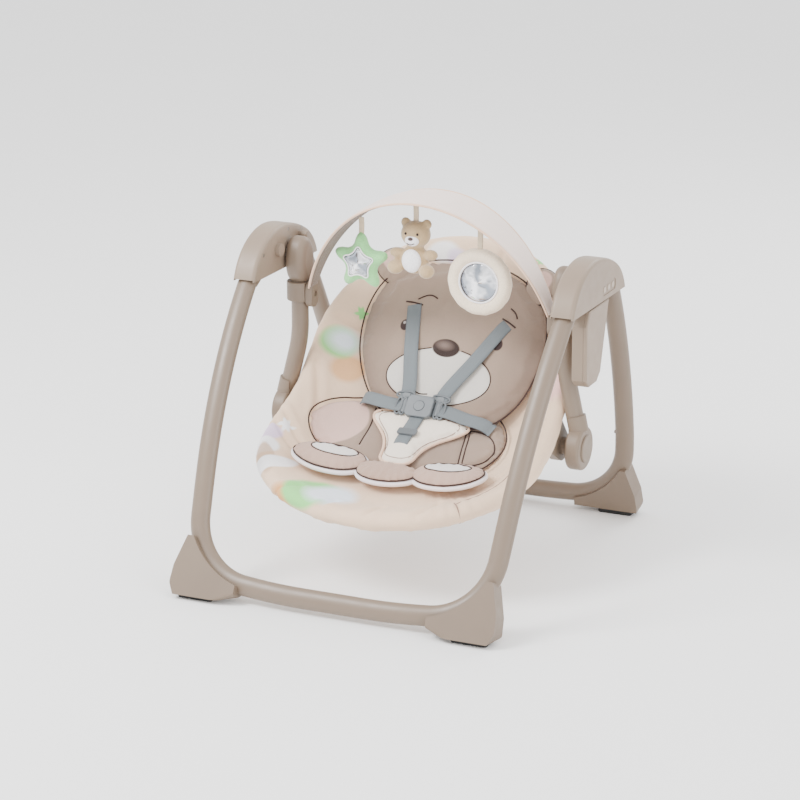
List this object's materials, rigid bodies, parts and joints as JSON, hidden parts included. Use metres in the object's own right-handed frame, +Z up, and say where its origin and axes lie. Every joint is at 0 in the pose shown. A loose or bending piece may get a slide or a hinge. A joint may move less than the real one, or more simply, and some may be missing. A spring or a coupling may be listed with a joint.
{
  "type": "baby swing",
  "caption": "Folding baby swing: tube stand with side hub housings, a reclining padded seat on swinging arms, a harness and a tilting toy bar with hanging soft toys.",
  "frame": {"origin": "on the floor, under the middle of the swing's bounding box", "axes": "+Z up, -Y towards the front, where the sitter's feet point; +X to the right seen from the front"},
  "size_m": [0.576, 0.6612, 0.577],
  "materials": {
    "hub_plastic": "satin moulded",
    "frame_plastic": "satin moulded",
    "frame_tube": "satin powder coat",
    "pad_rubber": "matte",
    "steel": "satin",
    "bush_plastic": "natural",
    "cell_wrap": "gloss",
    "board_green": "matte",
    "coil_copper": "satin",
    "button_plastic": "satin",
    "seat_cloth": "printed woven",
    "insert_cloth": "printed padded",
    "trim_cloth": "soft padded",
    "harness_webbing": "woven webbing",
    "buckle_plastic": "satin",
    "arch_cloth": "woven",
    "mint_plush": "short plush",
    "toy_mirror": "foil mirror",
    "toy_ribbon": "satin ribbon",
    "bear_plush": "short plush",
    "ring_plush": "short plush"
  },
  "bodies": {
    "hub": {"hub_inner_shell_left": "hub_plastic", "hub_inner_shell_right": "hub_plastic", "hub_outer_shell_left": "hub_plastic", "hub_outer_shell_right": "hub_plastic", "hub_screws": "steel", "pivot_pins": "steel", "axle_bushes": "bush_plastic", "battery_box": "hub_plastic", "battery_cells": "cell_wrap", "battery_contacts": "steel", "circuit_board": "board_green", "drive_coil": "coil_copper", "speaker": "pad_rubber"},
    "front_frame": {"front_base_tube": "frame_tube", "front_leg_tubes": "frame_tube", "front_knuckles": "frame_plastic", "front_feet": "frame_plastic", "front_foot_pads": "pad_rubber"},
    "rear_frame": {"rear_base_tube": "frame_tube", "rear_leg_tubes": "frame_tube", "rear_knuckles": "frame_plastic", "rear_feet": "frame_plastic", "rear_foot_pads": "pad_rubber"},
    "snap_button_left": {"snap_button_left": "frame_plastic"},
    "snap_button_right": {"snap_button_right": "frame_plastic"},
    "fold_button_left": {"fold_button_left": "hub_plastic"},
    "fold_button_right": {"fold_button_right": "hub_plastic"},
    "power_button": {"power_button": "button_plastic"},
    "speed_button": {"speed_button": "button_plastic"},
    "melody_button": {"melody_button": "button_plastic"},
    "battery_door": {"battery_door": "hub_plastic"},
    "arms": {"arm_heads": "frame_plastic", "arm_tubes": "frame_tube", "swing_axles": "steel", "toy_bar_collars": "frame_plastic", "lower_hubs": "frame_plastic", "drive_lever": "steel"},
    "recline_button_left": {"recline_button_left": "frame_plastic"},
    "recline_button_right": {"recline_button_right": "frame_plastic"},
    "seat": {"seat_tubes": "frame_tube", "seat_brackets": "frame_plastic", "seat_fabric": "seat_cloth", "insert_back": "insert_cloth", "insert_seat": "insert_cloth", "crotch_pad": "trim_cloth", "harness_straps": "harness_webbing", "buckle_body": "buckle_plastic", "buckle_tongues": "buckle_plastic", "strap_adjuster": "buckle_plastic"},
    "buckle_button": {"buckle_button": "buckle_plastic"},
    "toy_bar": {"toy_arch": "arch_cloth", "arch_clips": "frame_plastic"},
    "star_toy": {"star_plush": "mint_plush", "star_mirror": "toy_mirror", "star_ribbon": "toy_ribbon"},
    "bear_toy": {"bear_plush": "bear_plush", "bear_ribbon": "toy_ribbon"},
    "ring_toy": {"ring_plush": "ring_plush", "ring_mirror": "toy_mirror", "ring_ribbon": "toy_ribbon"}
  },
  "joints": [
    {"name": "fold_front", "type": "hinge", "parent": "hub", "child": "front_frame", "pos_m": [0, 0.024, 0.47], "axis": [1, 0, 0], "range_deg": [0, 28]},
    {"name": "fold_rear", "type": "hinge", "parent": "hub", "child": "rear_frame", "pos_m": [0, 0.124, 0.462], "axis": [1, 0, 0], "range_deg": [-16, 0]},
    {"name": "swing", "type": "hinge", "parent": "hub", "child": "arms", "pos_m": [0, 0.064, 0.455], "axis": [1, 0, 0], "range_deg": [-12, 12]},
    {"name": "recline", "type": "hinge", "parent": "arms", "child": "seat", "pos_m": [0, 0.06, 0.194], "axis": [1, 0, 0], "range_deg": [-12, 0]},
    {"name": "toy_bar_tilt", "type": "hinge", "parent": "arms", "child": "toy_bar", "pos_m": [0, 0.064, 0.392], "axis": [1, 0, 0], "range_deg": [0, 60]},
    {"name": "star_swing", "type": "hinge", "parent": "toy_bar", "child": "star_toy", "pos_m": [-0.118, 0.06, 0.527], "axis": [1, 0, 0], "range_deg": [-25, 25]},
    {"name": "bear_swing", "type": "hinge", "parent": "toy_bar", "child": "bear_toy", "pos_m": [-0.024, 0.06, 0.568], "axis": [1, 0, 0], "range_deg": [-25, 25]},
    {"name": "ring_swing", "type": "hinge", "parent": "toy_bar", "child": "ring_toy", "pos_m": [0.086, 0.06, 0.5485], "axis": [1, 0, 0], "range_deg": [-25, 25]},
    {"name": "fold_button_left_press", "type": "slide", "parent": "hub", "child": "fold_button_left", "axis": [-1, 0, 0], "range_m": [0, 0.004], "stiffness_N_per_m": 400},
    {"name": "fold_button_right_press", "type": "slide", "parent": "hub", "child": "fold_button_right", "axis": [1, 0, 0], "range_m": [0, 0.004], "stiffness_N_per_m": 400},
    {"name": "power_press", "type": "slide", "parent": "hub", "child": "power_button", "axis": [-1, 0, 0], "range_m": [0, 0.001], "stiffness_N_per_m": 400},
    {"name": "speed_press", "type": "slide", "parent": "hub", "child": "speed_button", "axis": [-1, 0, 0], "range_m": [0, 0.001], "stiffness_N_per_m": 400},
    {"name": "melody_press", "type": "slide", "parent": "hub", "child": "melody_button", "axis": [-1, 0, 0], "range_m": [0, 0.001], "stiffness_N_per_m": 400},
    {"name": "battery_door_open", "type": "hinge", "parent": "hub", "child": "battery_door", "pos_m": [0.282, 0.05, 0.31], "axis": [0, 1, 0], "range_deg": [0, 90]},
    {"name": "recline_button_left_press", "type": "slide", "parent": "arms", "child": "recline_button_left", "axis": [1, 0, 0], "range_m": [0, 0.003], "stiffness_N_per_m": 400},
    {"name": "recline_button_right_press", "type": "slide", "parent": "arms", "child": "recline_button_right", "axis": [-1, 0, 0], "range_m": [0, 0.003], "stiffness_N_per_m": 400},
    {"name": "buckle_press", "type": "slide", "parent": "seat", "child": "buckle_button", "axis": [0, 0.723, -0.6909], "range_m": [0, 0.002], "stiffness_N_per_m": 400},
    {"name": "snap_left_press", "type": "slide", "parent": "rear_frame", "child": "snap_button_left", "axis": [-1, 0, 0], "range_m": [0, 0.0025], "stiffness_N_per_m": 400},
    {"name": "snap_right_press", "type": "slide", "parent": "rear_frame", "child": "snap_button_right", "axis": [1, 0, 0], "range_m": [0, 0.0025], "stiffness_N_per_m": 400}
  ],
  "couplings": [
    {"joint": "fold_rear", "follows": "fold_front", "ratio": -0.48}
  ]
}
